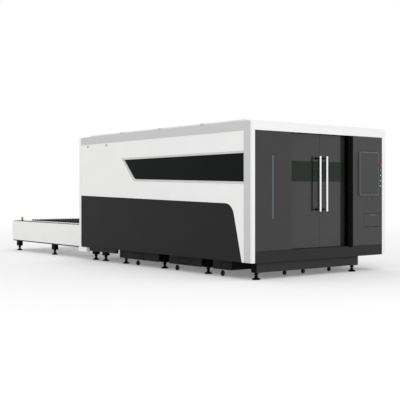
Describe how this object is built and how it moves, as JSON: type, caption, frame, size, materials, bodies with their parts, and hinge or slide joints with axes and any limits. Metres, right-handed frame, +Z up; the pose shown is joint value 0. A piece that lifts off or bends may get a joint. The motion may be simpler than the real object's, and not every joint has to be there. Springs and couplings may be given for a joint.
{
  "type": "fiber laser cutting machine",
  "caption": "Enclosed fibre laser sheet cutter with sliding front doors, side window, scrap trays, inner gantry and a rear exchange table with two shuttle pallets.",
  "frame": {"origin": "on the floor under the middle of the whole machine, exchange table and stop button included", "axes": "+X right across the front, +Y from the front covers back towards the exchange table, +Z up"},
  "size_m": [2.89, 8.078, 2.3],
  "materials": {
    "white_paint": "semi-gloss",
    "grey_paint": "satin",
    "dark_paint": "semi-gloss",
    "console_paint": "satin",
    "black_paint": "satin",
    "tray_paint": "satin",
    "cabinet_paint": "satin",
    "tinted_glass": "gloss",
    "machined_steel": "machined",
    "slat_steel": "scaled",
    "polished_metal": "polished",
    "gantry_paint": "satin",
    "head_metal": "machined",
    "screen_plastic": "gloss",
    "light_plastic": "satin",
    "red_plastic": "satin",
    "button_metal": "satin",
    "amber_plastic": "gloss",
    "caster_rubber": "matt"
  },
  "bodies": {
    "machine": {"bed_beams": "black_paint", "bed_cross_beams": "black_paint", "bed_plates": "black_paint", "black_trim": "black_paint", "button_collars": "polished_metal", "control_panel": "console_paint", "door_track": "machined_steel", "electrical_cabinet": "cabinet_paint", "enclosure_frame": "black_paint", "foot_brackets": "black_paint", "front_fixed_panel": "dark_paint", "front_portal": "white_paint", "front_skirt": "dark_paint", "gantry_rails": "machined_steel", "levelling_feet": "machined_steel", "light_strip": "light_plastic", "lower_panel_left": "dark_paint", "lower_panel_right": "dark_paint", "operator_screen": "screen_plastic", "pallet_rails": "black_paint", "rear_portal": "white_paint", "rear_wall": "white_paint", "roof_lugs": "white_paint", "roof_panels": "white_paint", "side_frames": "grey_paint", "table_caps": "grey_paint", "table_covers": "white_paint", "table_frame": "black_paint", "table_lamps": "amber_plastic", "upper_panel_left": "white_paint", "upper_panel_right": "white_paint", "window_frame_left": "grey_paint", "window_glass_left": "tinted_glass"},
    "door_left": {"door_leaf_left": "dark_paint", "door_glass_left": "tinted_glass", "door_handle_left": "polished_metal"},
    "door_right": {"door_leaf_right": "dark_paint", "door_glass_right": "tinted_glass", "door_handle_right": "polished_metal"},
    "tray_front": {"scrap_tray_front": "tray_paint", "tray_casters_front": "caster_rubber"},
    "tray_middle": {"scrap_tray_middle": "tray_paint", "tray_casters_middle": "caster_rubber"},
    "tray_rear": {"scrap_tray_rear": "tray_paint", "tray_casters_rear": "caster_rubber"},
    "flap": {"keyboard_flap": "console_paint"},
    "stop_button": {"emergency_stop": "red_plastic"},
    "button_1": {"push_button_1": "button_metal"},
    "button_2": {"push_button_2": "button_metal"},
    "button_3": {"push_button_3": "button_metal"},
    "button_4": {"push_button_4": "button_metal"},
    "gantry": {"gantry_beam": "gantry_paint", "gantry_saddles": "machined_steel"},
    "carriage": {"carriage": "gantry_paint"},
    "head": {"cutting_head": "head_metal"},
    "pallet_upper": {"pallet_upper_frame": "black_paint", "pallet_upper_slats": "slat_steel"},
    "pallet_lower": {"pallet_lower_frame": "black_paint", "pallet_lower_slats": "slat_steel"},
    "drive": {"drive_shaft": "machined_steel"}
  },
  "joints": [
    {"name": "door_left_slide", "type": "slide", "parent": "machine", "child": "door_left", "axis": [-1, 0, 0], "range_m": [0, 0.56]},
    {"name": "door_right_slide", "type": "slide", "parent": "machine", "child": "door_right", "axis": [1, 0, 0], "range_m": [0, 0.45]},
    {"name": "tray_front_slide", "type": "slide", "parent": "machine", "child": "tray_front", "axis": [-1, 0, 0], "range_m": [0, 1.9]},
    {"name": "tray_middle_slide", "type": "slide", "parent": "machine", "child": "tray_middle", "axis": [-1, 0, 0], "range_m": [0, 1.9]},
    {"name": "tray_rear_slide", "type": "slide", "parent": "machine", "child": "tray_rear", "axis": [-1, 0, 0], "range_m": [0, 1.9]},
    {"name": "flap_hinge", "type": "hinge", "parent": "machine", "child": "flap", "pos_m": [1.1345, -4, 0.713], "axis": [1, 0, 0], "range_deg": [0, 90]},
    {"name": "stop_press", "type": "slide", "parent": "machine", "child": "stop_button", "axis": [0, 1, 0], "range_m": [0, 0.005]},
    {"name": "button_1_press", "type": "slide", "parent": "machine", "child": "button_1", "axis": [0, 1, 0], "range_m": [0, 0.004], "stiffness_N_per_m": 800},
    {"name": "button_2_press", "type": "slide", "parent": "machine", "child": "button_2", "axis": [0, 1, 0], "range_m": [0, 0.004], "stiffness_N_per_m": 800},
    {"name": "button_3_press", "type": "slide", "parent": "machine", "child": "button_3", "axis": [0, 1, 0], "range_m": [0, 0.004], "stiffness_N_per_m": 800},
    {"name": "button_4_press", "type": "slide", "parent": "machine", "child": "button_4", "axis": [0, 1, 0], "range_m": [0, 0.004], "stiffness_N_per_m": 800},
    {"name": "gantry_slide", "type": "slide", "parent": "machine", "child": "gantry", "axis": [0, -1, 0], "range_m": [0, 3]},
    {"name": "carriage_slide", "type": "slide", "parent": "gantry", "child": "carriage", "axis": [1, 0, 0], "range_m": [-0.7, 0.7]},
    {"name": "head_slide", "type": "slide", "parent": "carriage", "child": "head", "axis": [0, 0, 1], "range_m": [-0.25, 0]},
    {"name": "pallet_upper_slide", "type": "slide", "parent": "machine", "child": "pallet_upper", "axis": [0, -1, 0], "range_m": [0, 3.92]},
    {"name": "pallet_lower_slide", "type": "slide", "parent": "machine", "child": "pallet_lower", "axis": [0, 1, 0], "range_m": [0, 3.92]},
    {"name": "drive_spin", "type": "hinge", "parent": "machine", "child": "drive", "pos_m": [-0.235, 3.929, 0.465], "axis": [1, 0, 0], "range_deg": [0, 3750]}
  ],
  "couplings": [
    {"joint": "pallet_lower_slide", "follows": "pallet_upper_slide", "ratio": 1},
    {"joint": "drive_spin", "follows": "pallet_upper_slide", "rad_per_m": 16.667}
  ]
}
